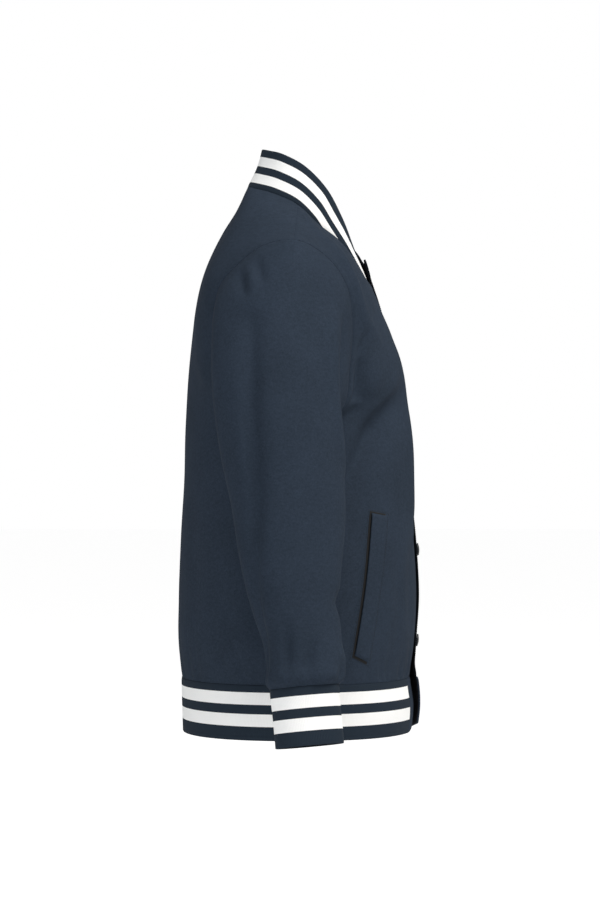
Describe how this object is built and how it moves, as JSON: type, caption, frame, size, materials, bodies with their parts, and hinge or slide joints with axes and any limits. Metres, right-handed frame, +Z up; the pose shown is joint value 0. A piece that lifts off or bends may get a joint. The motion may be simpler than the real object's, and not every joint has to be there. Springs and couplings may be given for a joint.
{
  "type": "varsity jacket",
  "caption": "Hip-length varsity jacket, filled out and snapped shut with no wearer, with striped rib collar, cuffs and hem band and slanted welt pockets.",
  "frame": {"origin": "between the two shoulder seams, where the wearer's shoulders carry the jacket", "axes": "+Z up, the front faces -Y, the jacket's own left side is +X"},
  "size_m": [0.6336, 0.2896, 0.6981],
  "materials": {
    "shell_cloth": "matte navy fleece-back shell cloth",
    "rib_knit": "navy rib knit with two white stripes",
    "snap_caps": "dark navy enamelled snap caps"
  },
  "bodies": {
    "root": {"back": "shell_cloth", "front_left": "shell_cloth", "front_right": "shell_cloth", "sleeve_left": "shell_cloth", "sleeve_right": "shell_cloth", "pocket_welt_left": "shell_cloth", "pocket_welt_right": "shell_cloth", "hem_end_left": "shell_cloth", "hem_end_right": "shell_cloth", "collar": "rib_knit", "hem_band": "rib_knit", "cuff_left": "rib_knit", "cuff_right": "rib_knit", "snap_1": "snap_caps", "snap_2": "snap_caps", "snap_3": "snap_caps", "snap_4": "snap_caps"}
  },
  "joints": []
}
